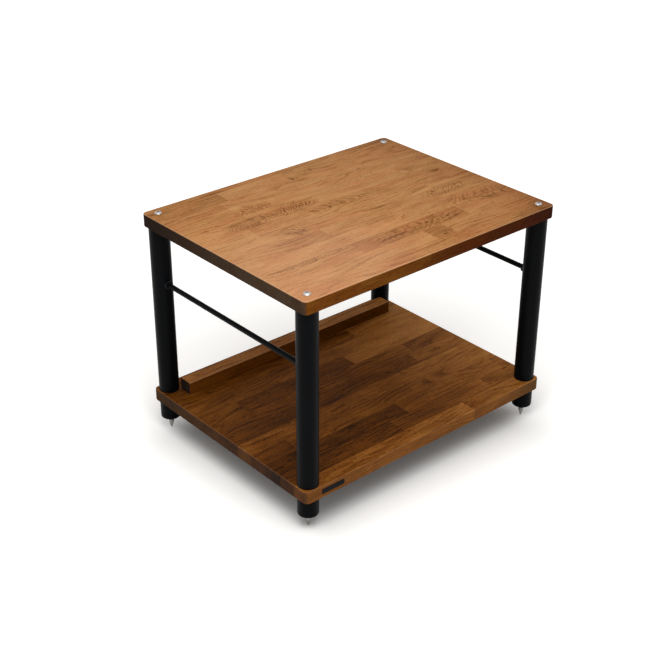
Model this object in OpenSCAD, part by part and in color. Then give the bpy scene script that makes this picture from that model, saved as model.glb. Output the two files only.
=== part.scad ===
// Record rack: two solid wood shelves held apart by four round tube legs, a rod at each
// side and a wooden stop at the back, standing on levelling spikes.
// Lengths are in millimetres. +Z is up and the front long side faces -Y. The origin is on
// the floor under the middle of the shelves, so the spikes' tips are at z = 0.

/* [Shelves] */
// Width of both shelves, left to right
shelf_w = 620; // [480:1:900]
// Depth of both shelves, front to back
shelf_d = 478; // [420:1:640]
// Thickness of each shelf
shelf_t = 26; // [20:0.5:40]
// Radius of the shelves' corners, seen from above
shelf_corner_r = 10; // [6:0.5:16]
// Radius that eases the shelves' edges
shelf_ease_r = 2; // [0.5:0.25:4]
// Clear height between the two shelves
clear_h = 356; // [330:1:420]

/* [Legs] */
// Outer diameter of the leg tubes
leg_d = 40; // [30:1:50]
// Wall of the leg tubes
leg_wall = 2; // [1.5:0.25:4]
// Distance from a leg's outside to the edge of the shelf
leg_margin = 2.5; // [1:0.5:12]
// Chamfer on the outer edges of the tubes' ends
leg_chamfer = 0.5; // [0.25:0.05:0.75]
// Length of the tapped plug in each end of a leg
plug_len = 25; // [15:1:40]

/* [Feet] */
// Height of the column under each leg
foot_h = 38; // [32:1:60]
// Radius of the column's lower edge
foot_edge_r = 4; // [1:0.5:8]

/* [Levelling spikes] */
// Distance from the underside of the foot to the floor
spike_reach = 27.5; // [24:0.5:40]
// Diameter of the spike's body
spike_body_d = 11; // [10.5:0.5:13]
// Height of the cone at the spike's tip
cone_h = 14; // [8:0.5:17]
// Radius that blunts the spike's tip
tip_r = 1.5; // [0.8:0.1:2.5]
// How far the spike can be screwed further in
level_in = 4; // [1:0.5:5]
// Gap that is left at the end of the spike's travel
travel_gap = 0.5; // [0.3:0.1:1]
// Width of the lock nut across its flats
lock_nut_af = 13; // [13:0.5:17]
// Thickness of the lock nut
lock_nut_h = 4; // [3:0.5:6]

/* [Side rods] */
// Diameter of the rod between the front and rear legs
rod_d = 10; // [6:0.5:14]
// Height of the rod's middle above the lower shelf
rod_h = 240; // [100:1:290]
// How far the rod reaches past the inside of the leg's wall
rod_tail = 7; // [3:0.5:10]
// Chamfer on the rod's ends
rod_chamfer = 1; // [0.25:0.25:1.5]
// Wall of the bush around the rod
bush_wall = 1.5; // [1:0.25:2]
// How far the bush's sleeve shows inside the leg
bush_lip = 1.5; // [0.5:0.25:3]
// Width of the bush's flange beyond its sleeve, all round
bush_flange = 2; // [1:0.25:4]
// Thickness of the bush's flange
bush_flange_t = 4; // [1.5:0.25:5]

/* [Rear stop] */
// Height of the rear stop
stop_h = 26; // [15:0.5:60]
// Depth of the rear stop, front to back
stop_d = 30; // [15:0.5:60]
// Distance from the back of the rear stop to the shelf's back edge
stop_set_in = 40; // [5:0.5:80]
// Gap between the rear stop's ends and the legs, measured where they come closest
stop_leg_gap = 4.5; // [0.3:0.1:30]
// Radius that eases the long edges of the rear stop
stop_ease_r = 1.5; // [0.5:0.25:4]

/* [Screws] */
// Nominal diameter of the bolts, studs and spikes' threads
thread_d = 8; // [6, 8, 10]
// Diameter of the top bolts' domed heads
bolt_head_d = 14; // [13:0.5:20]
// Height of the top bolts' heads
bolt_head_h = 4.4; // [3:0.1:6]
// Height of the straight rim under the dome of a bolt's head
bolt_rim_h = 0.6; // [0.3:0.1:1.2]
// Width of the bolts' sockets across the flats
socket_af = 5; // [3:0.5:6]
// Depth of the bolts' sockets
socket_depth = 2.6; // [1.5:0.1:2.9]
// How far the bolts reach into the legs
bolt_in_leg = 22; // [10:1:40]
// How far the joining studs reach into the legs
stud_in_leg = 20; // [10:1:40]
// How far the joining studs reach into the feet
stud_in_foot = 16; // [8:1:18]
// Chamfer on the ends of bolts, studs and spikes
thread_chamfer = 1; // [0.5:0.1:1.5]
// Number of wood screws that hold the rear stop
stop_screw_count = 3; // [2:1:6]
// Distance from the rear stop's end to its first screw
stop_screw_end = 60; // [20:1:120]
// Diameter of the wood screws
stop_screw_d = 4.5; // [3.5:0.5:6]
// How far the wood screws reach into the rear stop
stop_screw_bite = 18; // [10:0.5:24]
// Straight rim of the wood screws' countersunk heads
stop_screw_rim = 0.5; // [0.3:0.1:1]

/* [Clearances] */
// Gap around a bolt or stud in its plain hole in the wood
hole_play = 0.25; // [0.1:0.05:0.75]
// Gap around a thread in its tapped hole, and around a screw in its pilot hole
thread_play = 0.05; // [0.02:0.01:0.1]
// Gap around a bush in the leg's hole, under its flange, and around a plug in the tube
seat_play = 0.05; // [0.02:0.01:0.1]
// Gap around the rod in its bush
rod_play = 0.1; // [0.05:0.01:0.2]
// Chamfer at the mouths of the tapped holes
mouth_chamfer = 0.8; // [0.4:0.1:1.5]

/* [Hidden] */
// Overlap that carries a cut clear of the surface that it starts from
cut_over = 1;
$fn = 96;

// Heights of the seats, from the floor up
foot_z = spike_reach;
lower_z = foot_z + foot_h;
deck_z = lower_z + shelf_t;
upper_z = deck_z + clear_h;
top_z = upper_z + shelf_t;
rod_z = deck_z + rod_h;

// Legs
leg_r = leg_d / 2;
leg_bore_r = leg_r - leg_wall;
leg_x = shelf_w / 2 - leg_margin - leg_r;
leg_y = shelf_d / 2 - leg_margin - leg_r;
plug_r = leg_bore_r - seat_play;

// Threads and the holes that take them
thread_r = thread_d / 2;
tapped_r = thread_r + thread_play;
hole_r = thread_r + hole_play;

// Spikes
shoulder_z = foot_z - lock_nut_h - level_in - travel_gap;
spike_top_z = lower_z - stud_in_foot - level_in - travel_gap;

// Side rods and their bushes, measured outwards from a leg's axis
bush_bore_r = rod_d / 2 + rod_play;
bush_r = bush_bore_r + bush_wall;
bush_start = leg_bore_r - bush_lip;
bush_end = leg_r + bush_flange_t;
rod_half = leg_y - leg_bore_r + rod_tail;

// Rear stop
stop_back_y = shelf_d / 2 - stop_set_in;
stop_mid_y = stop_back_y - stop_d / 2;
stop_to_leg_y = max(0, leg_y - stop_back_y);
stop_half = leg_x - sqrt(max(0, pow(leg_r + stop_leg_gap, 2) - pow(stop_to_leg_y, 2)));
screw_head_r = stop_screw_d;
screw_cone_h = screw_head_r - stop_screw_d / 2;
screw_step = 2 * (stop_half - stop_screw_end) / (stop_screw_count - 1);
stop_screw_x = [for (i = [0:stop_screw_count - 1]) i * screw_step - stop_half + stop_screw_end];

// Name of each corner, with the side that it is on: -1 is left or front, 1 is right or rear
CORNERS = [["front_left", -1, -1], ["front_right", 1, -1], ["rear_left", -1, 1], ["rear_right", 1, 1]];
SIDES = [["left", -1], ["right", 1]];
CORNER_PIECES = ["leg", "leg_top_plug", "leg_bottom_plug", "rod_bush", "foot", "spike"];

wood = "#a4653a";
satin_black = "#1c1d1f";
bright_steel = "#c9cbcd";
plain_steel = "#8f9296";
black_nylon = "#2b2b2b";

// Moves its children to a leg's axis at the height z
module at_corner(c, z = 0) {
    translate([c[1] * leg_x, c[2] * leg_y, z]) children();
}

// Moves its children to a leg's axis at the rod's height, and turns +Z towards the other
// leg on that side
module at_rod_end(c) {
    at_corner(c, rod_z) rotate([90 * c[2], 0, 0]) children();
}

// A round bar that stands on z = 0, with a chamfer at each end
module chamfered_bar(r, h, chamfer) {
    rotate_extrude()
        polygon([[0, 0], [r - chamfer, 0], [r, chamfer], [r, h - chamfer], [r - chamfer, h], [0, h]]);
}

// The cut that chamfers the mouth of a hole of radius r, with the mouth at z = 0, facing +Z
module mouth_cut(r) {
    translate([0, 0, -mouth_chamfer])
        cylinder(r1 = r, r2 = r + mouth_chamfer + cut_over, h = mouth_chamfer + cut_over);
}

// A tapped hole right through a piece of height h that stands on z = 0
module tapped_hole(h) {
    translate([0, 0, -cut_over]) cylinder(r = tapped_r, h = h + 2 * cut_over);
    translate([0, 0, h]) mouth_cut(tapped_r);
    mirror([0, 0, 1]) mouth_cut(tapped_r);
}

// Half of a board's cross-section: x runs out to the edge, y up through the thickness
module eased_edge(reach, t, ease) {
    square([reach - ease, t]);
    translate([0, ease]) square([reach, t - 2 * ease]);
    for (y = [ease, t - ease]) translate([reach - ease, y]) circle(ease);
}

// A board with round corners in plan and eased edges, centred on the origin, from z = 0 up
module eased_board(w, d, t, corner_r, ease) {
    core_w = w - 2 * corner_r;
    core_d = d - 2 * corner_r;
    translate([-core_w / 2, -core_d / 2, 0]) cube([core_w, core_d, t]);
    for (side = [0, 180]) {
        rotate([0, 0, side]) translate([core_w / 2, 0, 0])
            rotate([90, 0, 0]) linear_extrude(core_d, center = true) eased_edge(corner_r, t, ease);
        rotate([0, 0, side + 90]) translate([core_d / 2, 0, 0])
            rotate([90, 0, 0]) linear_extrude(core_w, center = true) eased_edge(corner_r, t, ease);
        for (turn = [0, 1]) mirror([turn, 0, 0])
            rotate([0, 0, side]) translate([core_w / 2, core_d / 2, 0])
                rotate_extrude(angle = 90) eased_edge(corner_r, t, ease);
    }
}

// A shelf with a hole over or under each leg, standing on z = 0
module drilled_shelf() {
    difference() {
        eased_board(shelf_w, shelf_d, shelf_t, shelf_corner_r, shelf_ease_r);
        for (c = CORNERS) at_corner(c, -cut_over) cylinder(r = hole_r, h = shelf_t + 2 * cut_over);
    }
}

module top_shelf() {
    color(wood) translate([0, 0, upper_z]) drilled_shelf();
}

// The lower shelf also has a countersunk hole for each screw of the rear stop
module bottom_shelf() {
    color(wood) difference() {
        translate([0, 0, lower_z]) drilled_shelf();
        for (x = stop_screw_x) translate([x, stop_mid_y, lower_z]) screw_shape(hole_play, shelf_t + cut_over);
    }
}

// A batten with eased long edges and a pilot hole for each screw
module rear_stop() {
    color(wood) difference() {
        translate([0, stop_mid_y, deck_z]) rotate([90, 0, 90])
            linear_extrude(2 * stop_half, center = true)
                for (turn = [0, 1]) mirror([turn, 0]) eased_edge(stop_d / 2, stop_h, stop_ease_r);
        for (x = stop_screw_x) translate([x, stop_mid_y, deck_z - cut_over])
            cylinder(r = stop_screw_d / 2 + thread_play, h = cut_over + stop_screw_bite + travel_gap);
    }
}

// A countersunk screw that points up from z = 0, grown by play all round
module screw_shape(play, h) {
    head_r = screw_head_r + play;
    shank_r = stop_screw_d / 2 + play;
    translate([0, 0, play > 0 ? -cut_over : 0])
        cylinder(r = head_r, h = stop_screw_rim + (play > 0 ? cut_over : 0));
    translate([0, 0, stop_screw_rim]) cylinder(r1 = head_r, r2 = shank_r, h = screw_cone_h);
    cylinder(r = shank_r, h = h);
}

// The wood screws come up through the lower shelf into the rear stop
module stop_screws() {
    color(plain_steel)
        for (x = stop_screw_x) translate([x, stop_mid_y, lower_z]) screw_shape(0, shelf_t + stop_screw_bite);
}

// A tube, chamfered outside at both ends, with the bush's hole on its inner side
module leg(c) {
    color(satin_black) difference() {
        at_corner(c, deck_z) chamfered_bar(leg_r, clear_h, leg_chamfer);
        at_corner(c, deck_z - cut_over) cylinder(r = leg_bore_r, h = clear_h + 2 * cut_over);
        at_rod_end(c) cylinder(r = bush_r + seat_play, h = leg_r + cut_over);
    }
}

// A tapped plug that closes one end of a leg, flush with it
module leg_plug(c, z) {
    color(plain_steel) at_corner(c, z) difference() {
        cylinder(r = plug_r, h = plug_len);
        tapped_hole(plug_len);
    }
}

// A sleeve in the leg's wall with a flange that is hollowed to sit on the round leg
module rod_bush(c) {
    color(black_nylon) at_rod_end(c) difference() {
        union() {
            translate([0, 0, bush_start]) cylinder(r = bush_r, h = bush_end - bush_start);
            difference() {
                cylinder(r = bush_r + bush_flange, h = bush_end);
                rotate([90, 0, 0]) cylinder(r = leg_r + seat_play, h = leg_d, center = true);
            }
        }
        cylinder(r = bush_bore_r, h = bush_end + cut_over);
    }
}

// A rod that runs from inside the front leg to inside the rear leg
module side_rod(s) {
    color(satin_black) translate([s[1] * leg_x, rod_half, rod_z]) rotate([90, 0, 0])
        chamfered_bar(rod_d / 2, 2 * rod_half, rod_chamfer);
}

// A turned column with a round lower edge, tapped right through
module foot(c) {
    color(satin_black) at_corner(c, foot_z) difference() {
        rotate_extrude() {
            square([leg_r - foot_edge_r, foot_h]);
            translate([0, foot_edge_r]) square([leg_r, foot_h - foot_edge_r]);
            translate([leg_r - foot_edge_r, foot_edge_r]) intersection() {
                circle(foot_edge_r);
                translate([0, -foot_edge_r]) square([foot_edge_r, 2 * foot_edge_r]);
            }
        }
        tapped_hole(foot_h);
    }
}

// A turned spike: blunt cone, round body with a shoulder, and a threaded shank in the foot
module spike(c) {
    body_r = spike_body_d / 2;
    to_centre = norm([body_r, cone_h - tip_r]);
    tangent = atan2(body_r, cone_h - tip_r) + acos(tip_r / to_centre);
    color(bright_steel) at_corner(c) {
        translate([0, 0, tip_r]) sphere(tip_r);
        rotate_extrude() polygon([
            [0, tip_r], [tip_r * sin(tangent), tip_r * (1 + cos(tangent))], [body_r, cone_h],
            [body_r, shoulder_z], [thread_r, shoulder_z], [thread_r, spike_top_z - thread_chamfer],
            [thread_r - thread_chamfer, spike_top_z], [0, spike_top_z]]);
    }
}

// Thin hexagon nuts, chamfered on both faces, up against the feet
module spike_lock_nuts() {
    corner_r = lock_nut_af / 2 / cos(30);
    color(bright_steel) for (c = CORNERS) at_corner(c, foot_z - lock_nut_h) difference() {
        intersection() {
            cylinder(r = corner_r, h = lock_nut_h, $fn = 6);
            chamfered_bar(corner_r, lock_nut_h, corner_r - lock_nut_af / 2);
        }
        tapped_hole(lock_nut_h);
    }
}

// Studs that run from the legs' lower plugs through the lower shelf into the feet
module joining_studs() {
    color(plain_steel) for (c = CORNERS) at_corner(c, lower_z - stud_in_foot)
        chamfered_bar(thread_r, stud_in_foot + shelf_t + stud_in_leg, thread_chamfer);
}

// A bolt that points down, with the underside of its domed head at z = 0
module domed_bolt(h) {
    rise = bolt_head_h - bolt_rim_h;
    dome_r = (pow(bolt_head_d / 2, 2) + pow(rise, 2)) / (2 * rise);
    difference() {
        intersection() {
            cylinder(d = bolt_head_d, h = bolt_head_h);
            translate([0, 0, bolt_head_h - dome_r]) sphere(dome_r);
        }
        translate([0, 0, bolt_head_h - socket_depth])
            cylinder(r = socket_af / 2 / cos(30), h = socket_depth + cut_over, $fn = 6);
    }
    translate([0, 0, -h]) rotate_extrude()
        polygon([[0, 0], [thread_r - thread_chamfer, 0], [thread_r, thread_chamfer], [thread_r, h], [0, h]]);
}

module top_bolts() {
    color(bright_steel) for (c = CORNERS) at_corner(c, top_z) domed_bolt(shelf_t + bolt_in_leg);
}

top_shelf();
bottom_shelf();
rear_stop();
for (c = CORNERS) {
    leg(c);
    leg_plug(c, upper_z - plug_len);
    leg_plug(c, deck_z);
    rod_bush(c);
    foot(c);
    spike(c);
}
for (s = SIDES) side_rod(s);
top_bolts();
joining_studs();
spike_lock_nuts();
stop_screws();
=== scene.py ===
"""Looks of the record rack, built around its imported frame.

The frame holds every piece at its true size. Here each gets its finish, and the small forms that
the frame leaves out are made: the threads, recesses and turned ends of spikes, bolts and screws,
and the bare plate. The classes' sizes are in millimetres, and MM turns them to metres.
"""

import logging
from collections.abc import Callable, Iterable, Mapping, Sequence
from dataclasses import dataclass, field, fields, replace
from enum import Enum
from math import atan2, cos, hypot, inf, pi, radians, sin, sqrt, tau
from typing import Any

import bpy
from mathutils import Matrix, Vector


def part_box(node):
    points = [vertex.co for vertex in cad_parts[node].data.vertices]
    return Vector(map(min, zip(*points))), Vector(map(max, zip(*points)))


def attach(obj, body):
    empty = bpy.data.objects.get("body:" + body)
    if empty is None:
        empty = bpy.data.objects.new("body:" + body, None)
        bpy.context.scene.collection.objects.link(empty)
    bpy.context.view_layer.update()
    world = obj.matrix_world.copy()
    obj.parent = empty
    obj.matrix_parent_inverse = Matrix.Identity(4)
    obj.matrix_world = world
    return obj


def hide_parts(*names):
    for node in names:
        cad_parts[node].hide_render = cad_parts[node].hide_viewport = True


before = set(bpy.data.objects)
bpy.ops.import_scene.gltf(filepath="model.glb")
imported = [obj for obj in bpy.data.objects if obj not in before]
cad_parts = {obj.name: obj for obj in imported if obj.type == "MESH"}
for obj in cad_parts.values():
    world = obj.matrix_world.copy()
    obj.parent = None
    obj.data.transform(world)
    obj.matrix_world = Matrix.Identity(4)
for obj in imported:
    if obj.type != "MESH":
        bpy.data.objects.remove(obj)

MM = 0.001
RACK = "rack"
CORNERS = ("front_left", "front_right", "rear_left", "rear_right")
# Edges that turn more than this many degrees stay crisp
CRISP_ANGLE = 32

log = logging.getLogger("record_rack")

Pair = tuple[float, float]
Point = tuple[float, float, float]
Colour = tuple[float, float, float, float]
Constants = tuple[tuple[str, float], ...]
Outline = Callable[[float], float]
Material = bpy.types.Material
Piece = bpy.types.Object
Socket = bpy.types.NodeSocket
Value = Socket | float | Sequence[float]
Inputs = Sequence[Value] | Mapping[str | int, Value]
Stops = Sequence[tuple[float, Sequence[float]]]
Marks = dict[str, Value]
# A stave that stands out: its row from the front, its start and end along the board in
# millimetres, and its tone from -1, dark, to 1, pale
Stave = tuple[int, float, float, float]


class Slot(Enum):
    """The record's material slots."""

    COAT = "black_powder_coat"
    BRIGHT = "bright_steel"
    ZINC = "zinc_plated_steel"


def linear(colour: str) -> Colour:
    """Turns an sRGB hex colour to Blender's linear one.

    Args:
        colour: The colour as "#rrggbb".

    Returns:
        Linear red, green and blue, and an alpha of 1.
    """
    parts = [int(colour[i : i + 2], 16) / 255 for i in (1, 3, 5)]
    red, green, blue = (c / 12.92 if c <= 0.04045 else ((c + 0.055) / 1.055) ** 2.4 for c in parts)
    return red, green, blue, 1.0


def shade(colour: str, share: float) -> Colour:
    """Returns an sRGB hex colour as a linear one, made darker or lighter."""
    red, green, blue, _ = linear(colour)
    return red * share, green * share, blue * share, 1.0


# The property that the mode of each kind of node sets
MODES = {
    "Math": "operation", "VectorMath": "operation", "MapRange": "interpolation_type",
    "Mix": "blend_type", "ValToRGB": "interpolation",
}
# A colour mix takes its share at input 0 and its colours at 6 and 7
MIX = {"output": 2, "data_type": "RGBA"}


class Graph:
    """The nodes of a material or a world, and the one way to add to them."""

    def __init__(self, owner: Any) -> None:
        """Starts with no nodes.

        Args:
            owner: The new material or world.
        """
        owner.use_nodes = True
        self.owner = owner
        self.tree = owner.node_tree
        self.tree.nodes.clear()

    def add(
        self, kind: str, inputs: Inputs = (), output: str | int = 0, stops: Stops = (),
        **settings: Any,
    ) -> Socket:
        """Adds a node with its settings and links.

        Args:
            kind: Blender's node type without "ShaderNode", then a space and its mode, if any.
            inputs: The sockets that feed it or their values, in order or by name or number.
            output: The output that is returned, by name or number.
            stops: For a colour ramp, each stop's place from 0 to 1 and its colour.
            settings: The node's other properties.

        Returns:
            The chosen output. Its node has the others.
        """
        kind, _, mode = kind.partition(" ")
        node = self.tree.nodes.new("ShaderNode" + kind)
        band = getattr(node, "color_ramp", None)
        if mode:
            setattr(band or node, MODES[kind], mode)
        for key, value in settings.items():
            setattr(node, key, value)
        for key, value in inputs.items() if isinstance(inputs, Mapping) else enumerate(inputs):
            if isinstance(value, Socket):
                self.tree.links.new(value, node.inputs[key])
            else:
                node.inputs[key].default_value = value
        while band and len(band.elements) < len(stops):
            band.elements.new(1.0)
        # A ramp keeps its stops in order, so all the places come before the colours
        for index, (place, _) in enumerate(stops):
            band.elements[index].position = place
        for index, (_, colour) in enumerate(stops):
            band.elements[index].color = colour
        return node.outputs[output] if len(node.outputs) else node

    def finish(self, shader: Socket, output: str = "OutputMaterial") -> Any:
        """Links the shader to the output and returns the material or world."""
        self.add(output, {"Surface": shader})
        return self.owner


@dataclass(frozen=True)
class Figure:
    """A patch of nested dark arcs, where a stave was sawn through a bend in the trunk.

    The middle, half length and half width are in millimetres, and so is the spacing of the arcs.
    They run square to the board where along is 1 and across is 0, and bulge bends them along it. A
    spacing far wider than the patch makes it one plain dark mark, such as a pin knot.
    """

    x: float
    y: float
    length: float
    width: float
    spacing: float
    along: float = 1
    across: float = 0
    bulge: float = 0
    depth: float = 1


@dataclass(frozen=True)
class EdgeStainAndPaintedLight:
    """How a board's long edges, or its ends, took the stain, with painted shade and a painted
    sheen.

    The tints darken the wood partly for the stain that it drank, end grain most, and partly as
    painted shade, and the ends' bluish tints are partly a painted sheen. The first tint darkens the
    wood at the left or front and the second at the other end, and run says where one turns to the
    other, in shares of half the edge; that turn is painted shade. The third colour is a painted
    sheen of light off the edge, and share is how much of it shows.
    """

    tints: tuple[str, str]
    run: Pair = (-0.6, 0.5)
    bloom: str = "#cb9061"
    share: float = 0


# The wood's patterns, with the size of their patches in millimetres along, across and through the
# board, and their octaves. One that is endless through the board lies on the board itself, and the
# others come with the log. Pores are hair-fine, and are drawn 1 mm wide to show as flecks
PATTERNS: dict[str, tuple[Point, int]] = {
    "bends": ((260, 300, 300), 1),
    "wobbles": ((34, 13, 13), 2),
    "fade": ((110, 22, 22), 2),
    "pores": ((8, 1.1, 1.1), 2),
    "streak": ((70, 2.4, 2.4), 2),
    "cloud": ((60, 19, 19), 3),
    "blush": ((120, 40, 40), 2),
    "ripple": ((40, 22, inf), 2),
    "patchy": ((15, 11, inf), 1),
}
# How far apart knots lie in millimetres along and across the log, which they run through
KNOTS = (380, 130, inf)
# How many millimetres each pattern pushes the rings out, which bend with the trunk and the knots
PUSHES = {"bends": 42, "wobbles": 2.2, "swell": 9}
# A ring is dark where its large early pores lie, and pales towards the next one
RING = ((0, 0), (0.1, 1), (0.3, 0.55), (0.6, 0.1), (1, 0))
# The stain from the darkest mark to the palest stave, and the level of a usual stave
STAIN = ((0, "#2e1704"), (0.25, "#6f4216"), (0.5, "#a4703f"), (0.72, "#be8b57"), (1, "#d7a875"))
USUAL_LEVEL = 0.54
# How much each mark moves that level, and the mark's own usual level
WEIGHTS = {
    "cloud": (0.3, 0.5), "streak": (0.31, 0.5), "rings": (-0.16, 0.2), "arcs": (-0.38, 0.1),
    "pores": (-0.27, 0.15), "knot": (-0.26, 0), "seam": (-0.06, 0),
}
# The oil's roughness and what each mark adds to it, and each mark's relief in shares of CUT_DEPTH
OIL_ROUGHNESS = 0.4
OIL_CONSTANTS = {"IOR": 1.5, "Specular IOR Level": 0.025}
ROUGHENING = {"pores": 0.2, "cloud": 0.12, "end_grain": 0.3}
CUTS = {"figure": -0.35, "pores": -1, "seam": -0.6}
CUT_DEPTH = 0.12


@dataclass(frozen=True)
class LaminatedOak:
    """Oak staves glued edge to edge, stained medium brown and sealed with satin oil.

    It gives the eye staves of nearly one tone with staggered butt joints, long arches where a stave
    is cut flat, patches of tight arcs, fine dark pores, and edges darkened partly by the stain that
    they drank and partly by painted shade.

    Rows give one joint's place and the staves' length in each row, from the front. Level and
    tone_spread are the board's tone and the staves' difference, and tone_run adds one tone at a
    first place along the board and another at a second. Grain scales every mark. Tint and blush
    colour the stain, which is redder in patches. A painted sheen pales the top near its front left,
    and a painted highlight pales the upper arris.
    """

    name: str
    seed: float
    stave_width: float
    first_joint: float
    rows: tuple[Pair, ...]
    notable: tuple[Stave, ...] = ()
    figures: tuple[Figure, ...] = ()
    half_size: Pair = (310, 239)
    mid_height: float = 0
    log_size: Point = (1900, 700, 300)
    pith_span: float = 110
    pith_depth: Pair = (24, 55)
    ring_spacing: float = 5
    seam_width: Pair = (0.7, 0.1)
    grain: float = 1
    level: float = 0
    tone_spread: float = 0.07
    tone_run: tuple[float, ...] = (-310, 0, 310, 0)
    tint: str = "#ffffff"
    blush: str = "#fdf0ef"
    # The edges are darker partly for stain and partly as painted shade, which deepens towards the
    # right and the back, and the ends' bluish tints and veil are a painted sheen
    edge: EdgeStainAndPaintedLight = EdgeStainAndPaintedLight(("#b29c60", "#775004"))
    end: EdgeStainAndPaintedLight = EdgeStainAndPaintedLight(("#7f8ba2", "#4f4840"), (-0.8, 0.95), "#383e41", 0.2)
    # A painted highlight pales the upper arris, in this tone and up to this share
    arris_tone: str = "#d9b090"
    arris_wear: float = 0.3
    # A painted sheen pales the top near its front left: its tone, its share, its middle in
    # millimetres, and the distances at which it is gone and at which it is full
    faded_tone: str = "#b7907a"
    faded_share: float = 0
    faded_place: Point = (-210, -150, 0)
    faded_reach: Pair = (270, 81)

    def make(self) -> Material:
        """Builds the material.

        Returns:
            The finished material.
        """
        g = Graph(bpy.data.materials.new(self.name))
        marks = self.staves(g)
        self.saw(g, marks)
        marks["arcs"] = self.arcs(g, marks)
        marks["figure"] = g.add("Math MAXIMUM", (marks["rings"], marks["arcs"]))
        colour = self.stained_edges(g, marks, self.stained_faces(g, marks))
        rough: Value = OIL_ROUGHNESS
        for name, weight in ROUGHENING.items():
            rough = g.add("Math MULTIPLY_ADD", (marks[name], weight, rough))
        height: Value = 0.0
        for name, weight in CUTS.items():
            height = g.add("Math MULTIPLY_ADD", (marks[name], weight, height))
        bump = g.add("Bump", {"Height": height, "Strength": 0.5, "Distance": CUT_DEPTH * MM})
        inputs = {"Base Color": colour, "Roughness": rough, "Normal": bump, **OIL_CONSTANTS}
        return g.finish(g.add("BsdfPrincipled", inputs))

    def staves(self, g: Graph) -> Marks:
        """Finds each point's row and stave, and the stave's own place in the log.

        Args:
            g: The material's nodes.

        Returns:
            The point on the board and in the log, the stave's draw, and the joints.
        """
        point = g.add("VectorMath SCALE", {0: g.add("TexCoord", output="Object"), "Scale": 1 / MM})
        x, y, z = g.add("SeparateXYZ", (point,)).node.outputs
        across = g.add("Math SUBTRACT", (y, self.first_joint))
        across = g.add("Math DIVIDE", (across, self.stave_width))
        row = g.add("Math FLOOR", (across,))
        in_row = g.add("Math FRACT", (across,))
        count = len(self.rows)
        place = g.add("Math MULTIPLY_ADD", (row, 1 / count, 0.5 / count))
        colours = [(joint % size * MM, size * MM, 0, 1) for joint, size in self.rows]
        stops = [(i / count, colour) for i, colour in enumerate(colours)]
        layout = g.add("ValToRGB CONSTANT", (place,), stops=stops)
        layout = g.add("SeparateColor", (layout,)).node.outputs
        joint = g.add("Math MULTIPLY", (layout["Red"], 1 / MM))
        length = g.add("Math MULTIPLY", (layout["Green"], 1 / MM))
        along = g.add("Math SUBTRACT", (x, joint))
        along = g.add("Math DIVIDE", (along, length))
        in_stave = g.add("Math FRACT", (along,))
        key = g.add("CombineXYZ", (row, g.add("Math FLOOR", (along,)), self.seed))
        draw = g.add("TexWhiteNoise", (key,), "Color")
        in_log = g.add("VectorMath MULTIPLY_ADD", (draw, self.log_size, point))

        # Glue lines and butt joints show as thin dark lines
        seams = []
        for part, size in ((in_row, self.stave_width), (in_stave, length)):
            near = g.add("Math PINGPONG", (part, 0.5))
            near = g.add("Math MULTIPLY", (near, size))
            seams.append(g.add("MapRange", (near, *self.seam_width)))
        seam = g.add("Math MAXIMUM", seams)
        return {
            "point": point, "x": x, "y": y, "z": z, "row": row, "in_row": in_row, "seam": seam,
            "draw": draw, "chance": draw.node.outputs["Value"], "in_log": in_log,
        }

    def saw(self, g: Graph, marks: Marks) -> None:
        """Adds what the saw lays open in each stave: its rings, knots, pores and streaks.

        Args:
            g: The material's nodes.
            marks: The marks so far, to which these are added.
        """
        for name, (size, octaves) in PATTERNS.items():
            source = marks["point" if inf in size else "in_log"]
            scaled = g.add("VectorMath MULTIPLY", (source, [1 / part for part in size]))
            marks[name] = g.add("TexNoise", {"Vector": scaled, "Scale": 1, "Detail": octaves})
        cells = g.add("VectorMath MULTIPLY", (marks["in_log"], [1 / part for part in KNOTS]))
        cells = g.add("TexVoronoi", {"Vector": cells, "Scale": 1}, voronoi_dimensions="2D")
        marks["swell"] = g.add("MapRange SMOOTHSTEP", (cells, 0.16, 0))
        marks["knot"] = g.add("MapRange SMOOTHSTEP", (cells, 0.022, 0.008))

        # The rings are round the pith, which lies beside and under the stave
        drawn = g.add("SeparateXYZ", (marks["draw"],)).node.outputs
        depth, depth_span = self.pith_depth
        width = self.stave_width
        in_mm = g.add("Math MULTIPLY_ADD", (marks["in_row"], width, -width / 2))
        pith_y = g.add("Math MULTIPLY_ADD", (drawn["X"], self.pith_span, -self.pith_span / 2))
        pith_z = g.add("Math MULTIPLY_ADD", (drawn["Y"], -depth_span, self.mid_height - depth))
        from_y = g.add("Math SUBTRACT", (in_mm, pith_y))
        from_z = g.add("Math SUBTRACT", (marks["z"], pith_z))
        radius = g.add("VectorMath LENGTH", (g.add("CombineXYZ", (from_y, from_z)),), "Value")
        for name, push in PUSHES.items():
            radius = g.add("Math MULTIPLY_ADD", (marks[name], push, radius))

        # Real rings are 2 to 4 mm wide, and are drawn wider so that the arches still show
        phase = g.add("Math DIVIDE", (radius, self.ring_spacing))
        phase = g.add("Math FRACT", (phase,))
        stops = [(place, (dark, dark, dark, 1)) for place, dark in RING]
        early = g.add("ValToRGB", (phase,), stops=stops)
        strength = g.add("MapRange SMOOTHSTEP", (marks["fade"], 0.4, 0.66, 0.06, 1))
        marks["rings"] = g.add("Math MULTIPLY", (early, strength))
        pores = g.add("MapRange", (marks["pores"], 0.48, 0.7))
        porous = g.add("Math MULTIPLY_ADD", (early, 0.6, 0.4))
        marks["pores"] = g.add("Math MULTIPLY", (pores, porous))

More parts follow.
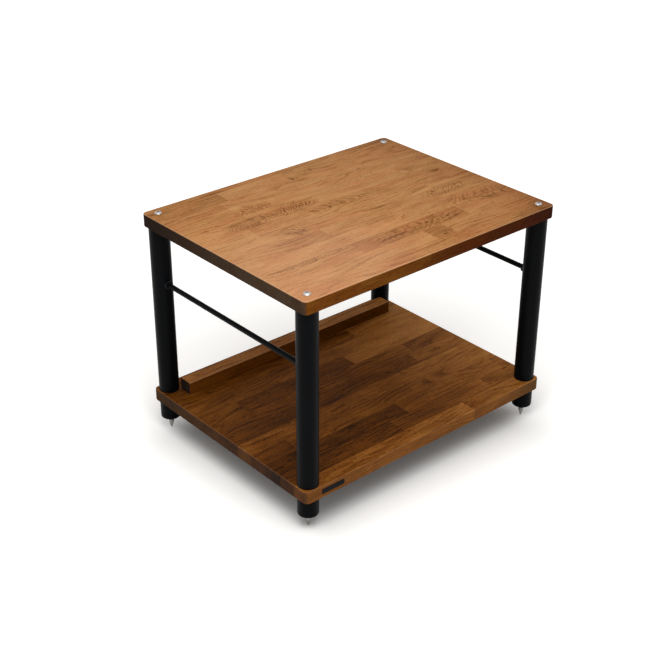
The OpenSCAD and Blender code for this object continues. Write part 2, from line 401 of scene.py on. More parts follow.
    def arcs(self, g: Graph, marks: Marks) -> Value:
        """Draws the figured patches, each at its own place on the board.

        Args:
            g: The material's nodes.
            marks: The marks so far.

        Returns:
            How dark the arcs are, from 0 to 1.
        """
        wobble = g.add("Math MULTIPLY", (marks["ripple"], 50))
        uneven = g.add("MapRange", (marks["patchy"], 0.38, 0.6, 0.5, 1))
        arcs: Value = 0.0
        for patch in self.figures:
            scale = (1 / patch.length, 1 / patch.width, 0)
            offset = (-patch.x / patch.length, -patch.y / patch.width, 0)
            local = g.add("VectorMath MULTIPLY_ADD", (marks["point"], scale, offset))
            reach = g.add("VectorMath LENGTH", (local,), "Value")
            side = g.add("SeparateXYZ", (local,), "Y")
            bend = g.add("Math MULTIPLY_ADD", (side, patch.bulge, patch.across * patch.width))
            bend = g.add("Math MULTIPLY_ADD", (bend, side, wobble))
            bend = g.add("Math MULTIPLY_ADD", (marks["x"], patch.along, bend))
            line = g.add("Math PINGPONG", (bend, patch.spacing / 2))
            line = g.add("MapRange SMOOTHSTEP", (line, patch.spacing * 0.42, 0))
            mask = g.add("MapRange SMOOTHSTEP", (reach, 1.1, 0.6, 0, patch.depth))
            mask = g.add("Math MULTIPLY", (mask, uneven))
            line = g.add("Math MULTIPLY", (line, mask))
            arcs = g.add("Math MAXIMUM", (line, arcs))
        return arcs

    def stained_faces(self, g: Graph, marks: Marks) -> Socket:
        """Picks the stain's colour by the stave's tone and by all the marks on it.

        Args:
            g: The material's nodes.
            marks: The marks on the wood.

        Returns:
            The colour.
        """
        usual = USUAL_LEVEL + self.level - self.tone_spread / 2
        usual -= self.grain * sum(weight * mean for weight, mean in WEIGHTS.values())
        tone = g.add("Math MULTIPLY_ADD", (marks["chance"], self.tone_spread, usual))
        for row, start, end, change in self.notable:
            same_row = g.add("Math COMPARE", (marks["row"], row, 0.1))
            inside = g.add("Math COMPARE", (marks["x"], (start + end) / 2, (end - start) / 2))
            mask = g.add("Math MULTIPLY", (same_row, inside))
            tone = g.add("Math MULTIPLY_ADD", (mask, change, tone))
        start, start_tone, stop, stop_tone = self.tone_run
        run = g.add("MapRange", (marks["x"], start, stop, start_tone, stop_tone))
        tone = g.add("Math ADD", (tone, run))
        for name, (weight, _) in WEIGHTS.items():
            tone = g.add("Math MULTIPLY_ADD", (marks[name], self.grain * weight, tone))
        stops = [(place, linear(stain)) for place, stain in STAIN]
        colour = g.add("ValToRGB", (tone,), stops=stops)
        redder = g.add("MapRange", (marks["blush"], 0.42, 0.62))
        tint = g.add("Mix", {0: redder, 6: linear(self.tint), 7: linear(self.blush)}, **MIX)
        return g.add("Mix MULTIPLY", {0: 1, 6: colour, 7: tint}, **MIX)

    def stained_edges(self, g: Graph, marks: Marks, colour: Socket) -> Socket:
        """Paints a sheen and an arris highlight, then stains and shades the edges, end grain most.

        Args:
            g: The material's nodes.
            marks: The marks so far, to which the end grain is added.
            colour: The faces' colour.

        Returns:
            The colour of the whole board.
        """
        normal = g.add("SeparateXYZ", (g.add("TexCoord", output="Normal"),)).node.outputs
        upright = g.add("MapRange SMOOTHSTEP", (normal["Z"], 0.6, 0.2))
        # Painted sheen: a paler pool on the top near its front left, kept off upright faces
        away = g.add("VectorMath MULTIPLY", (marks["point"], (1, 1, 0)))
        away = g.add("VectorMath DISTANCE", (away, self.faded_place), "Value")
        painted_sheen = g.add("MapRange SMOOTHSTEP", (away, *self.faded_reach, 0, self.faded_share))
        painted_sheen = g.add("Math SUBTRACT", (painted_sheen, upright), use_clamp=True)
        # Painted highlight: the sloping upper arris turns paler
        sloping = g.add("MapRange", (normal["Z"], 0.97, 0.85, 0, self.arris_wear))
        above = g.add("MapRange", (normal["Z"], 0.15, 0.5))
        arris_highlight = g.add("Math MULTIPLY", (sloping, above))
        for share, tone in ((painted_sheen, self.faded_tone), (arris_highlight, self.arris_tone)):
            colour = g.add("Mix", {0: share, 6: colour, 7: linear(tone)}, **MIX)
        # Edges and ends: darker partly for stain and partly as painted shade, which turns along the
        # edge
        for axis, along, half, stain in (
            ("Y", marks["x"], self.half_size[0], self.edge),
            ("X", marks["y"], self.half_size[1], self.end),
        ):
            facing = g.add("Math ABSOLUTE", (normal[axis],))
            facing = g.add("MapRange SMOOTHSTEP", (facing, 0.3, 0.92))
            facing = g.add("Math MULTIPLY", (facing, upright))
            turned = g.add("MapRange SMOOTHSTEP", (along, *(half * place for place in stain.run)))
            near, far = (linear(tint) for tint in stain.tints)
            tint = g.add("Mix", {0: turned, 6: near, 7: far}, **MIX)
            colour = g.add("Mix MULTIPLY", {0: facing, 6: colour, 7: tint}, **MIX)
            # A painted sheen of light off the edge
            edge_sheen = g.add("Math MULTIPLY", (facing, stain.share))
            colour = g.add("Mix", {0: edge_sheen, 6: colour, 7: linear(stain.bloom)}, **MIX)
            marks["end_grain"] = facing
        return colour


@dataclass(frozen=True)
class FineFinish:
    """A hard finish with a fine relief, whose colour and gloss vary softly over the piece.

    Relief and variation are their patterns' sizes in millimetres along X, Y and Z. Tones are the
    colour's shares at two levels of the variation, and rough is the roughness at its ends. Bump is
    the relief's strength and its depth in millimetres. Constants go on the shader as they are.
    """

    name: str
    colour: str
    relief: Point
    variation: Point
    tones: tuple[Pair, Pair]
    rough: Pair
    bump: Pair
    constants: Constants
    octaves: int = 3

    def make(self) -> Material:
        """Builds the material.

        Returns:
            The finished material.
        """
        g = Graph(bpy.data.materials.new(self.name))
        here = g.add("TexCoord", output="Object")
        patterns = []
        for size, octaves in ((self.relief, 2), (self.variation, self.octaves)):
            scaled = g.add("VectorMath MULTIPLY", (here, [1 / (part * MM) for part in size]))
            patterns.append(g.add("TexNoise", {"Vector": scaled, "Scale": 1, "Detail": octaves}))
        relief, varied = patterns
        stops = [(place, shade(self.colour, share)) for place, share in self.tones]
        colour = g.add("ValToRGB", (varied,), stops=stops)
        low, high = self.rough
        rough = g.add("MapRange", (varied, 0.3, 0.7, low, high)) if low < high else low
        strength, depth = self.bump
        bump = g.add("Bump", {"Height": relief, "Strength": strength, "Distance": depth * MM})
        inputs = {"Base Color": colour, "Roughness": rough, "Normal": bump, **dict(self.constants)}
        return g.finish(g.add("BsdfPrincipled", inputs))


@dataclass(frozen=True)
class PowderCoatedSteel(FineFinish):
    """Steel tube with baked satin black powder coat.

    It gives the eye a soft, broad highlight that a fine orange peel breaks up.
    """

    name: str = "powder_coated_steel"
    colour: str = "#060709"
    relief: Point = (1.1, 1.1, 1.1)
    variation: Point = (45.4545, 45.4545, 45.4545)
    tones: tuple[Pair, Pair] = ((0.3, 0.8), (0.7, 1.25))
    rough: Pair = (0.34, 0.44)
    bump: Pair = (0.25, 0.03)
    constants: Constants = (("IOR", 1.5), ("Specular IOR Level", 0.045))


@dataclass(frozen=True)
class PlatedSteel(FineFinish):
    """Turned or forged steel with a thin plating of nickel or zinc.

    It gives the eye a grey mirror that turning lines and handling blur. The real lines are finer
    than a tenth of a millimetre, and are drawn a third apart or more.
    """

    relief: Point = (33.3333, 33.3333, 0.35)
    variation: Point = (6.25, 6.25, 6.25)
    tones: tuple[Pair, Pair] = ((0.3, 0.88), (0.65, 1.0))
    rough: Pair = (0.16, 0.26)
    bump: Pair = (0.2, 0.02)
    constants: Constants = (("Metallic", 1.0),)


@dataclass(frozen=True)
class MouldedNylon(FineFinish):
    """Black nylon, injection moulded with a lightly sparked surface.

    It gives the eye a dull black without a clear highlight.
    """

    name: str = "moulded_nylon"
    colour: str = "#0d0e0f"
    relief: Point = (0.5, 0.5, 0.5)
    variation: Point = (0.5, 0.5, 0.5)
    tones: tuple[Pair, Pair] = ((0.35, 1.0), (0.7, 1.4))
    rough: Pair = (0.55, 0.55)
    bump: Pair = (0.3, 0.03)
    constants: Constants = (("IOR", 1.53), ("Specular IOR Level", 0.12))
    octaves: int = 2


@dataclass(frozen=True)
class AnodisedAluminium(FineFinish):
    """Aluminium sheet, brushed along its length and anodised black.

    It gives the eye a dark satin with fine lines that run along the plate. Real ones are finer
    than a tenth of a millimetre, and are drawn a quarter apart so that they show.
    """

    name: str = "brushed_anodised_aluminium"
    colour: str = "#0c0c0d"
    relief: Point = (16.6667, 16.6667, 0.25)
    variation: Point = (16.6667, 16.6667, 0.25)
    tones: tuple[Pair, Pair] = ((0.35, 1.0), (0.7, 1.8))
    rough: Pair = (0.42, 0.42)
    bump: Pair = (0.25, 0.02)
    constants: Constants = (("IOR", 1.5), ("Specular IOR Level", 0.06))
    octaves: int = 2


@dataclass(frozen=True)
class StudioPaper:
    """Matt white paper, calendered on the roll.

    It gives the eye a plain white that turns to soft grey under the rack, partly by the rack's own
    shadow and partly by painted shadow. Lift gives, at each distance in metres from the footprint,
    how much the paper glows, which is painted light that fades the rack's shadow out farther away,
    and how much of its white it keeps, which is painted shadow under and close round the rack. The
    footprint is half the size of the ground under the rack, and centre is its middle. The light
    that the paper throws on the rack has the bounce colour.
    """

    name: str = "matt_white_paper"
    colour: str = "#f6f5f3"
    bounce: str = "#b4b2ae"
    glow: Colour = (1, 0.99, 0.975, 1)
    fibre: float = 2.5
    # Each distance, its glow as painted light, and the white that painted shadow leaves
    lift: tuple[Point, ...] = (
        (0, 0, 0.74), (0.02, 0, 0.84), (0.035, 0, 0.95), (0.05, 0.05, 1), (0.065, 0.12, 1),
        (0.08, 0.175, 1), (0.1, 0.24, 1), (0.13, 0.33, 1), (0.2, 0.44, 1), (0.35, 0.52, 1),
        (2.5, 0.52, 1),
    )
    footprint: Point = (0.24, 0.18, 1)
    centre: Point = (-0.01, -0.025, 0)

    def make(self) -> Material:
        """Builds the material.

        Returns:
            The finished material.
        """
        g = Graph(bpy.data.materials.new(self.name))
        here = g.add("TexCoord", output="Object")
        fibre = g.add("TexNoise", {"Vector": here, "Scale": 1 / (self.fibre * MM), "Detail": 2})
        stops = [(0, shade(self.colour, 0.985)), (1, linear(self.colour))]
        colour = g.add("ValToRGB", (fibre,), stops=stops)
        away = g.add("VectorMath SUBTRACT", (here, self.centre))
        away = g.add("VectorMath ABSOLUTE", (away,))
        away = g.add("VectorMath SUBTRACT", (away, self.footprint))
        away = g.add("VectorMath MAXIMUM", (away, (0, 0, 0)))
        away = g.add("VectorMath LENGTH", (away,), "Value")
        reach = self.lift[-1][0]
        away = g.add("Math DIVIDE", (away, reach))
        stops = [(far / reach, (lift, white_left_by_painted_shadow, 0, 1)) for far, lift, white_left_by_painted_shadow in self.lift]
        near = g.add("ValToRGB", (away,), stops=stops)
        near = g.add("SeparateColor", (near,)).node.outputs
        # Painted shadow: the paper keeps less of its white under and close round the rack
        colour = g.add("VectorMath SCALE", {0: colour, "Scale": near["Green"]})
        seen = seen_directly(g)
        colour = g.add("Mix", {0: seen, 6: linear(self.bounce), 7: colour}, **MIX)
        paper = g.add("BsdfDiffuse", {"Color": colour, "Roughness": 0.6})
        # Painted light: where it is seen, the paper glows more the farther it lies from the rack
        strength = g.add("Math MULTIPLY", (seen, near["Red"]))
        glow = g.add("Emission", {"Color": self.glow, "Strength": strength})
        return g.finish(g.add("AddShader", (paper, glow)))


def seen_directly(g: Graph) -> Socket:
    """Finds what the eye sees straight, mirrored or through glass, and not by its light.

    Args:
        g: The nodes of the paper or the sky.

    Returns:
        1 where it is seen and 0 where it only lights.
    """
    rays = g.add("LightPath").node.outputs
    seen = g.add("Math MAXIMUM", (rays["Is Camera Ray"], rays["Is Glossy Ray"]))
    return g.add("Math MAXIMUM", (seen, rays["Is Transmission Ray"]))


def mesh_object(
    name: str, finish: Material, points: Iterable[Point], faces: Iterable[Sequence[int]]
) -> Piece:
    """Makes a smooth-shaded object from points in millimetres.

    Args:
        name: The piece's name.
        finish: Its material all over.
        points: The mesh's points, in millimetres.
        faces: Each face's points by number.

    Returns:
        The object, linked to the scene.
    """
    mesh = bpy.data.meshes.new(name)
    mesh.from_pydata([tuple(c * MM for c in p) for p in points], [], list(faces))
    mesh.shade_smooth()
    mesh.set_sharp_from_angle(angle=radians(CRISP_ANGLE))
    mesh.validate()
    mesh.materials.append(finish)
    piece = bpy.data.objects.new(name, mesh)
    bpy.context.scene.collection.objects.link(piece)
    return piece


def dress_nodes(finish: Material, *starts: str) -> None:
    """Gives nodes of the frame a finish.

    Args:
        finish: The material.
        starts: What the nodes' names start with.
    """
    for name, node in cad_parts.items():
        if name.startswith(starts):
            for slot in node.material_slots:
                slot.material = finish
            log.info("node %s: %s", name, finish.name)


def settle(piece: Piece, body: str, replaced: Sequence[str] = ()) -> None:
    """Fixes a new piece to its body, and reports it.

    Args:
        piece: The piece.
        body: The body that it rides on.
        replaced: The nodes that it stands for.
    """
    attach(piece, body)
    if replaced:
        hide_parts(*replaced)
    log.info("piece %s on %s: %d faces", piece.name, body, len(piece.data.polygons))


@dataclass(frozen=True)
class Thread:
    """A screw thread's outer radius, its inner radius and the rise of one turn."""

    crest: float
    root: float
    pitch: float


# The bolts' and spikes' thread
M8 = Thread(4, 3.3, 1.25)


@dataclass
class Turning:
    """A piece that is turned about +Z, built ring by ring from one end of its axis to the other.

    A thread's flank is how steeply it falls, and how much of the turn its flat crest takes.
    """

    segments: int = 48
    rings_a_turn: int = 6
    flank: Pair = (2.6, 0.2)
    rings: list[tuple[float, Outline]] = field(default_factory=list)

    def round(self, radius: float, height: float) -> None:
        """Adds a round ring."""
        self.rings.append((height, lambda angle: radius))

    def shaped(self, outline: Outline, height: float) -> None:
        """Adds a ring whose radius depends on the angle."""
        self.rings.append((height, outline))

    def thread(self, form: Thread, start: float, end: float) -> None:
        """Adds the rings of a screw thread that fades in and out over a millimetre.

        Args:
            form: The thread's sizes.
            start: The height of its first ring.
            end: The height of its last ring, above or below start.
        """
        steep, flat = self.flank
        steps = round(abs(end - start) / form.pitch * self.rings_a_turn)
        for i in range(steps + 1):
            height = start + (end - start) * i / steps
            depth = (form.crest - form.root) * min(1, abs(height - start), abs(end - height))

            def outline(angle: float, height: float = height, depth: float = depth) -> float:
                """Returns the thread's radius at an angle."""
                turn = (height / form.pitch - angle / tau) % 1
                return form.crest - depth * min(1, max(0, abs(turn - 0.5) * steep - flat))

            self.rings.append((height, outline))

    def mesh(self, at: Sequence[Point]) -> tuple[list[Point], list[list[int]]]:
        """Builds the turned form at each place.

        Args:
            at: The places of the form's origin.

        Returns:
            The points in millimetres and the faces.
        """
        points: list[Point] = []
        faces: list[list[int]] = []
        count = self.segments
        angles = [tau * i / count for i in range(count)]
        for x, y, z in at:
            base = len(points)
            for height, outline in self.rings:
                for angle in angles:
                    radius = outline(angle)
                    points.append((x + radius * cos(angle), y + radius * sin(angle), z + height))
            last = base + (len(self.rings) - 1) * count
            for ring in range(base, last, count):
                for i in range(count):
                    a, b = ring + i, ring + (i + 1) % count
                    faces.append([a, b, b + count, a + count])
            faces.append([base + i for i in reversed(range(count))])
            faces.append([last + i for i in range(count)])
        return points, faces


def hex_outline(across_flats: float) -> Outline:
    """Returns the radius of a hexagon at each angle."""
    sixth = pi / 3
    return lambda angle: across_flats / 2 / cos((angle + sixth / 2) % sixth - sixth / 2)


def cross_outline(arm: float, width: float) -> Outline:
    """Returns the radius of a cross at each angle.

    Args:
        arm: The cross's size from tip to tip.
        width: The width of its arms.

    Returns:
        The radius as a function of the angle.
    """

    def outline(angle: float) -> float:
        """Returns where a ray leaves the wider of the two bars."""
        run, rise = max(1e-6, abs(cos(angle))), max(1e-6, abs(sin(angle)))
        return max(min(arm / 2 / run, width / 2 / rise), min(width / 2 / run, arm / 2 / rise))

    return outline


@dataclass
class Shelves:
    """The two laminated shelves and the batten along the back of the lower one, by their nodes."""

    top_shelf: LaminatedOak = LaminatedOak(
        name="laminated_oak_top", seed=3, stave_width=42.5, first_joint=-246,
        # A painted sheen pales the top near its front left
        tone_run=(210, 0, 310, -0.13), faded_share=0.22, grain=1.05,
        rows=(
            (-20, 290), (34, 305), (-107.5, 265), (60, 330), (-105, 280), (-120, 310),
            (95, 300), (-20, 220), (-175, 300), (-150, 320), (10, 300), (-90, 285),
        ),
        notable=(
            (0, -310, -20, -0.05), (0, -20, 150, -0.12), (0, 150, 310, -0.15), (1, -310, 34, -0.02),
            (1, 34, 80, -0.15), (1, 80, 310, -0.04), (2, -310, -107.5, -0.02),
            (2, -107.5, 157.5, -0.09), (2, 157.5, 310, -0.04), (3, 190, 310, -0.03),
            (4, -212, -105, -0.07), (7, -240, -20, 0.01), (9, -310, -175, -0.1),
            (10, -310, -150, -0.15), (11, -310, -90, -0.11), (11, -90, 195, -0.06),
            (11, 195, 310, -0.13),
        ),
        figures=(
            Figure(-180, 70, 66, 24, 6, bulge=20, across=0.2, depth=1.05),
            Figure(-80, 72, 62, 23, 7, across=-0.6, bulge=8),
            Figure(-138, 118, 44, 20, 7.5, across=-0.1, depth=0.95),
            Figure(205, -48, 70, 21, 9, across=-0.7, bulge=9, depth=0.65),
            Figure(225, -112, 95, 30, 15, bulge=-30, depth=0.5),
            Figure(40, -140, 125, 22, 17, across=-0.8, bulge=10, depth=0.42),
            Figure(-205, -124, 110, 9, 4.6, along=-0.03, across=1),
            Figure(-140, -10, 26, 26, 9, across=0.8, bulge=6),
            Figure(0, 36, 95, 15, 18, across=0.4, bulge=8, depth=0.6),
            Figure(258, 35, 15, 7, 4000, depth=0.7),
            Figure(9, 187, 6, 10, 4000, depth=0.6),
            Figure(69, 200, 5, 8, 4000, depth=0.45),
        ),
    )
    bottom_shelf: LaminatedOak = LaminatedOak(
        name="laminated_oak_bottom", seed=11, stave_width=41.3, first_joint=-244.5,
        # Its low level and its run from dark at the left to pale at the right are partly painted
        # shade of records that stood on the shelf
        tone_run=(60, -0.14, 300, 0.1), tint="#fff3c8", blush="#fff0cc", level=-0.24, grain=0.95,
        # Its front edge darkens at the right end as painted shade, and its edges and ends carry a
        # painted sheen
        edge=EdgeStainAndPaintedLight(("#fbf6dc", "#838b79"), (0.5, 1), share=0.13),
        end=EdgeStainAndPaintedLight(("#ffffff", "#e0f3ff"), (-0.8, 0.95), "#383e41", 0.35), arris_wear=0.1,
        rows=(
            (120, 300), (-37, 250), (15, 270), (80, 310), (-60, 330), (170, 290),
            (-110, 300), (60, 280), (-20, 310), (140, 330), (0, 290), (-70, 300),
        ),
        # Partly painted light and shade: darker staves at the front left for the shade of records
        # that stood there, and paler ones at the back right for light from behind
        notable=(
            (0, -310, 120, 0.08), (0, 120, 310, 0.01), (1, -310, 310, -0.06), (2, -310, 15, -0.14),
            (2, 15, 310, -0.04), (3, -310, -230, -0.08), (3, -230, 80, 0.05), (3, 80, 310, 0.01),
            (4, -310, 310, 0.03), (5, -310, 170, -0.05), (5, 170, 310, -0.03),
            (6, -310, 190, -0.03), (6, 190, 310, -0.08), (7, -310, 60, -0.02), (7, 60, 310, 0.12),
            (8, -310, -20, 0.03), (8, -20, 310, 0.07), (9, -310, 140, -0.02), (9, 140, 310, 0.1),
            (10, -310, 0, -0.04), (10, 0, 310, 0.1),
        ),
    )
    # One stave longer and wider than the batten makes it solid wood
    rear_stop: LaminatedOak = LaminatedOak(
        name="solid_oak_batten", seed=8, stave_width=400, first_joint=0, rows=((-900, 2000),),
        level=-0.19, tint="#fff8e8", blush="#fff0e0",
        # Its front edge darkens towards the right as painted shade
        edge=EdgeStainAndPaintedLight(("#b29c60", "#8c7a28")),
    )

    def build(self) -> None:
        """Dresses both shelves and the rear stop."""
        for board in fields(self):
            low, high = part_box(board.name)
            middle = (low.z + high.z) / 2 / MM
            finish = replace(getattr(self, board.name), mid_height=middle)
            dress_nodes(finish.make(), board.name)


@dataclass
class LegStack:
    """The screwed legs and feet, with the side rods and their bushes."""

    coat: PowderCoatedSteel = PowderCoatedSteel()
    nylon: MouldedNylon = MouldedNylon()

    def build(self, zinc: Material) -> None:
        """Dresses legs, feet, rods, bushes, plugs and studs.

        Args:
            zinc: The finish of the parts inside the legs.
        """
        dress_nodes(self.coat.make(), "leg_front", "leg_rear", "foot", "side_rod")
        dress_nodes(self.nylon.make(), "rod_bush")
        dress_nodes(zinc, "leg_top_plug", "leg_bottom_plug", "joining_studs")


@dataclass
class LevellingSpikes:
    """The four turned spikes, each screwed up into its foot, and their lock nuts.

    Cone_edge is how far in, down and up the small round reaches where the cone meets the body.
    """

    tip_radius: float = 1.5
    tip_steps: int = 6
    tip_flat: float = 0.02
    cone_height: float = 14
    cone_edge: Point = (0.1, 0.15, 0.2)
    body_radius: float = 5.5
    body_ease: float = 0.4
    shoulder: float = 19
    thread_gap: float = 0.2
    end_chamfer: float = 1

    def build(self, finish: Material) -> None:
        """Builds each spike around its node and dresses the lock nuts.

        Args:
            finish: The bright plating.
        """
        for corner in CORNERS:
            node = f"spike_{corner}"
            low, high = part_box(node)
            top = (high.z - low.z) / MM
            turning = Turning()
            tip, body, shoulder = self.tip_radius, self.body_radius, self.shoulder
            inward, down, up = self.cone_edge
            slope = atan2(body - tip, self.cone_height - tip)
            for i in range(self.tip_steps + 1):
                lean = (pi / 2 - slope) * i / self.tip_steps
                turning.round(max(self.tip_flat, tip * sin(lean)), tip * (1 - cos(lean)))
            for radius, height in (
                (body - inward, self.cone_height - down),
                (body, self.cone_height + up),
                (body, shoulder - self.body_ease),
                (body - self.body_ease, shoulder),
                (M8.crest, shoulder),
            ):
                turning.round(radius, height)
            turning.thread(M8, shoulder + self.thread_gap, top - self.end_chamfer)
            turning.round(M8.crest - self.end_chamfer, top)
            place = ((low.x + high.x) / 2 / MM, (low.y + high.y) / 2 / MM, low.z / MM)
            piece = mesh_object(f"turned_spike_{corner}", finish, *turning.mesh([place]))
            settle(piece, node, [node])
        dress_nodes(finish, "spike_lock_nuts")


@dataclass
class Screws:
    """The domed bolts over the legs and the countersunk screws under the rear stop.

    Head_break is the small round at a head's rim, and closed is the radius of a ring too small to
    see, which closes a form. Cross_floor gives what is left of the arms' length and width
    at the recess's floor, and its point's depth in shares of cross_depth.
    """

    head_break: float = 0.15
    closed: float = 0.05
    bolt_head_radius: float = 7
    bolt_rim: float = 1.3
    bolt_head: float = 4.4
    bolt_chamfer: float = 1
    bolt_neck: float = 0.5
    dome_steps: int = 9
    socket: float = 5
    socket_depth: float = 2.6
    socket_lead: float = 0.25
    socket_chamfer: float = 0.3
    socket_floor: float = 0.1
    drill_depth: float = 0.9
    screw_count: int = 3
    screw_head_radius: float = 4.5
    screw_rim: float = 0.5
    head_bevel: float = 0.2
    screw_thread: Thread = Thread(2.25, 1.5, 2)
    screw_plain: float = 26
    screw_point: float = 4
    cross_arm: float = 4.6
    cross_width: float = 1.2
    cross_depth: float = 2
    cross_floor: Point = (0.5, 0.8, 1.15)
    cross_lip: float = 0.05

    def bolts(self, finish: Material) -> None:
        """Builds the four domed bolts, from their ends up to their sockets.

        Args:
            finish: The bright plating.
        """
        low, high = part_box("top_bolts")
        head, flat = self.bolt_head_radius, self.bolt_head
        face = high.z / MM - flat
        end = low.z / MM - face
        turning = Turning()
        turning.round(M8.crest - self.bolt_chamfer, end)
        turning.thread(M8, end + self.bolt_chamfer, -self.bolt_neck)
        turning.round(M8.crest, 0)
        turning.round(head - self.head_break, 0)
        turning.round(head, self.head_break)
        mouth = self.socket / 2 / cos(pi / 6) + self.socket_chamfer
        rise = flat - self.bolt_rim
        ball = (head**2 - mouth**2 + rise**2) / (2 * rise)
        sphere = hypot(mouth, ball)
        for i in range(self.dome_steps + 1):
            radius = mouth + (head - mouth) * cos(pi / 2 * i / self.dome_steps)
            turning.round(radius, flat - ball + sqrt(max(0, sphere**2 - radius**2)))

        # The socket, from its mouth down to the drill's mark in its floor
        outline = hex_outline(self.socket)
        floor = flat - self.socket_depth
        turning.shaped(outline, flat - self.socket_lead)
        turning.shaped(outline, floor)
        turning.round(self.socket / 2 - self.socket_lead, floor - self.socket_floor)
        turning.round(self.closed, floor - self.drill_depth)

        inset = head * MM
        columns, rows = (low.x + inset, high.x - inset), (low.y + inset, high.y - inset)
        places = [(x / MM, y / MM, face) for x in columns for y in rows]
        piece = mesh_object("domed_bolts", finish, *turning.mesh(places))
        settle(piece, RACK, ["top_bolts"])

    def stop_screws(self, finish: Material) -> None:
        """Builds the countersunk wood screws, from their heads up to their points.

        Args:
            finish: The zinc plating.
        """
        low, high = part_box("stop_screws")
        top = (high.z - low.z) / MM
        head, crest = self.screw_head_radius, self.screw_thread.crest
        start, end = self.screw_plain, top - self.screw_point
        turning = Turning()

        # The cross recess, from its floor to its mouth in the head's face, which looks down
        arm, width, depth = self.cross_arm, self.cross_width, self.cross_depth
        shorter, thinner, deeper = self.cross_floor
        turning.round(self.closed, depth * deeper)
        turning.shaped(cross_outline(arm * shorter, width * thinner), depth)
        turning.shaped(cross_outline(arm, width), self.cross_lip)

        turning.round(head - self.head_bevel, 0)
        turning.round(head, self.head_break)
        turning.round(head, self.screw_rim)
        turning.round(crest, self.screw_rim + head - crest)
        turning.thread(self.screw_thread, start, end)
        turning.round(2 * self.closed, top)
        first, last = low.x / MM + head, high.x / MM - head
        gap = (last - first) / (self.screw_count - 1)
        middle = (low.y + high.y) / 2 / MM
        places = [(first + gap * i, middle, low.z / MM) for i in range(self.screw_count)]
        piece = mesh_object("countersunk_screws", finish, *turning.mesh(places))
        settle(piece, RACK, ["stop_screws"])


@dataclass
class FrontPlate:
    """The bare black plate on the lower shelf's front edge."""

    left: float = -273.5
    right: float = -220.5
    lift: float = 8.8
    height: float = 10.2
    thickness: float = 0.8
    corner: float = 1.2
    bevel: float = 0.25
    corner_steps: int = 6

    def outline(self, inset: float) -> list[Pair]:
        """Rounds the plate's four corners.

        Args:
            inset: How far the outline is drawn in from the plate's own.

        Returns:
            The outline's points along the shelf and up.
        """
        radius = self.corner - inset
        left, right = self.left + self.corner, self.right - self.corner
        low, high = self.corner, self.height - self.corner
        points = []
        for quarter, (x, z) in enumerate(((right, high), (left, high), (left, low), (right, low))):
            for i in range(self.corner_steps + 1):
                angle = radians(90 * (quarter + i / self.corner_steps))
                points.append((x + radius * cos(angle), z + radius * sin(angle)))
        return points

    def build(self, finish: Material) -> None:
        """Builds the plate against the shelf's edge.

        Args:
            finish: The plate's finish.
        """
        low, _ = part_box("bottom_shelf")
        back, base = low.y / MM, low.z / MM + self.lift
        front = back - self.thickness
        layers = [(0.0, back), (0.0, front + self.bevel), (self.bevel, front)]
        points = [(x, y, base + z) for inset, y in layers for x, z in self.outline(inset)]
        count = len(points) // len(layers)
        faces = [list(range(count)), [2 * count + i for i in reversed(range(count))]]
        for start in (0, count):
            for i in range(count):
                a, b = start + i, start + (i + 1) % count
                faces.append([a, a + count, b + count, b])
        piece = mesh_object("bare_front_plate", finish, points, faces)
        settle(piece, RACK)


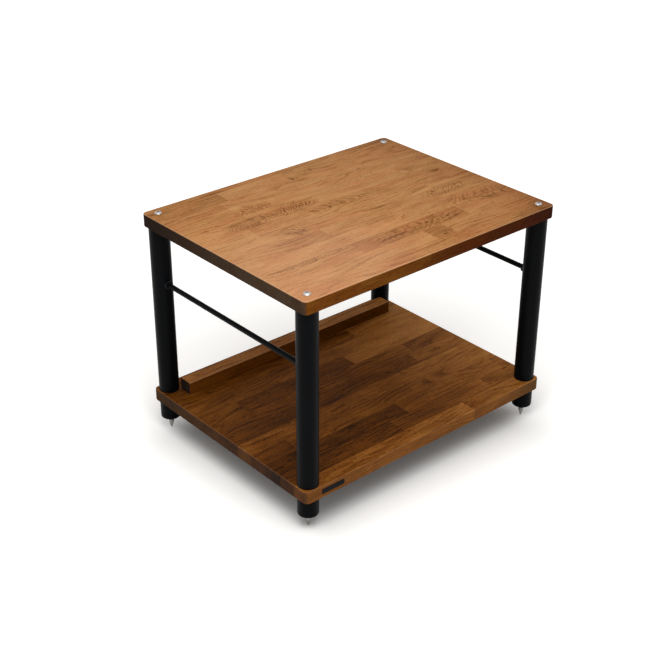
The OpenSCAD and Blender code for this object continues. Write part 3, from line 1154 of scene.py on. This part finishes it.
@dataclass
class Studio:
    """A white floor, soft light from above and the camera at the photograph's angle.

    Its sizes are in metres, apart from the camera's sensor in millimetres and its focal length in
    pixels of the photograph.
    """

    azimuth: float = -41.085
    elevation: float = 28.955
    roll: float = 0.2804
    place: Point = (-1.52376, -1.69915, 1.46926)
    focal_pixels: float = 1314.5
    frame_pixels: float = 665
    sensor: float = 36
    floor_radius: float = 40
    floor_steps: int = 96
    sky: float = 0.63
    softbox_place: Point = (-0.5, -0.55, 1.2)
    softbox_target: Point = (-0.2, -0.15, 0.45)
    softbox_size: float = 0.8
    softbox_power: float = 7.6

    def camera(self) -> None:
        """Places the camera and frames the rack as the photograph does."""
        turn, tilt, roll = (radians(a) for a in (self.azimuth, self.elevation, self.roll))
        away = cos(tilt)
        back = Vector((sin(turn) * away, -cos(turn) * away, sin(tilt)))
        right = (-back).cross(Vector((0, 0, 1))).normalized()
        up = right.cross(-back)
        level = right * cos(roll) + up * sin(roll)
        rise = up * cos(roll) - right * sin(roll)
        data = bpy.data.cameras.new("photo_camera")
        data.sensor_fit = "HORIZONTAL"
        data.sensor_width = self.sensor
        data.lens = self.focal_pixels / self.frame_pixels * self.sensor
        camera = bpy.data.objects.new("photo_camera", data)
        axes = Matrix((level, rise, back)).transposed()
        camera.matrix_world = Matrix.Translation(self.place) @ axes.to_4x4()
        bpy.context.scene.collection.objects.link(camera)
        bpy.context.scene.camera = camera

    def floor(self) -> None:
        """Lays the round paper floor."""
        radius = self.floor_radius / MM
        angles = [tau * i / self.floor_steps for i in range(self.floor_steps)]
        rim = [(radius * cos(angle), radius * sin(angle), 0.0) for angle in angles]
        floor = mesh_object("paper_floor", StudioPaper().make(), rim, [range(self.floor_steps)])

    def light(self) -> None:
        """Lights the rack with an even white sky and one round softbox near its front left."""
        scene = bpy.context.scene
        scene.view_settings.view_transform = "Standard"
        g = Graph(bpy.data.worlds.new("white_studio"))
        strength = g.add("MapRange", (seen_directly(g), 0, 1, self.sky, 1))
        sky = g.add("Background", {"Color": linear("#ffffff"), "Strength": strength})
        scene.world = g.finish(sky, "OutputWorld")
        lamp = bpy.data.lights.new("round_softbox", "AREA")
        lamp.shape = "DISK"
        lamp.size = self.softbox_size
        lamp.energy = self.softbox_power
        softbox = bpy.data.objects.new("round_softbox", lamp)
        softbox.location = self.softbox_place
        aim = Vector(self.softbox_target) - Vector(self.softbox_place)
        softbox.rotation_euler = aim.to_track_quat("-Z", "Y").to_euler()
        scene.collection.objects.link(softbox)


def main() -> None:
    """Builds the rack's looks piece by piece, then the studio."""
    logging.basicConfig(level=logging.INFO, format="%(name)s: %(message)s")
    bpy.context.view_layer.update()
    # Turned and bright spikes, rougher zinc on the hidden screws, and bolts dulled in the tumbler
    bright = PlatedSteel("nickel_plated_steel", "#a6a4a0").make()
    coarse = (33.3333, 33.3333, 0.5)
    zinc = PlatedSteel("zinc_plated_steel", "#b9bcc0", coarse, rough=(0.272, 0.442)).make()
    tumbled = PlatedSteel("tumbled_nickel_steel", "#b6b4b2", rough=(0.336, 0.546)).make()
    Shelves().build()
    LegStack().build(zinc)
    LevellingSpikes().build(bright)
    screws = Screws()
    screws.bolts(tumbled)
    screws.stop_screws(zinc)
    FrontPlate().build(AnodisedAluminium().make())
    studio = Studio()
    studio.floor()
    studio.light()
    studio.camera()


if __name__ == "__main__":
    main()
